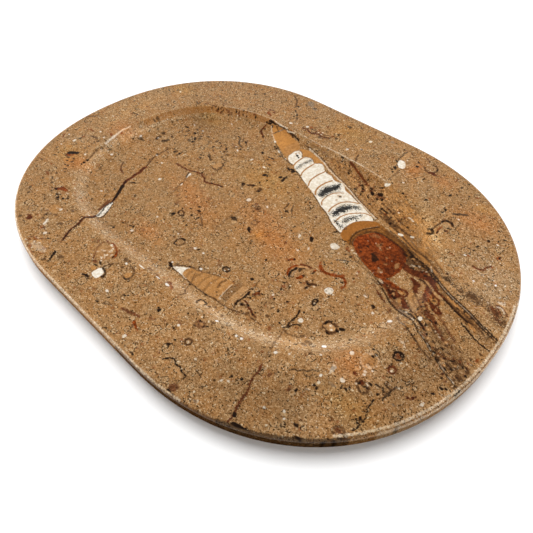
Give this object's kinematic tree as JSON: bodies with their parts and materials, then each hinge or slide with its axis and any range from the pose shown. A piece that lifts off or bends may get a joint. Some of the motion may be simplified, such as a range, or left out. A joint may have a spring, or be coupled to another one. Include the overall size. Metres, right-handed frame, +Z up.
{
  "type": "orthoceras fossil plate",
  "caption": "Oval stone plate cut from fossil limestone, with a shallow polished dish in its top, a flat rim and a flat base to rest on.",
  "frame": {"origin": "middle of the flat base that the plate rests on", "axes": "+X along the length, toward the end where the large fossil runs out at the edge; +Z up, out of the dish"},
  "size_m": [0.305, 0.2276, 0.015],
  "materials": {
    "plate": "polished, with a satin gloss"
  },
  "bodies": {
    "root": {"plate": "plate"}
  },
  "joints": []
}
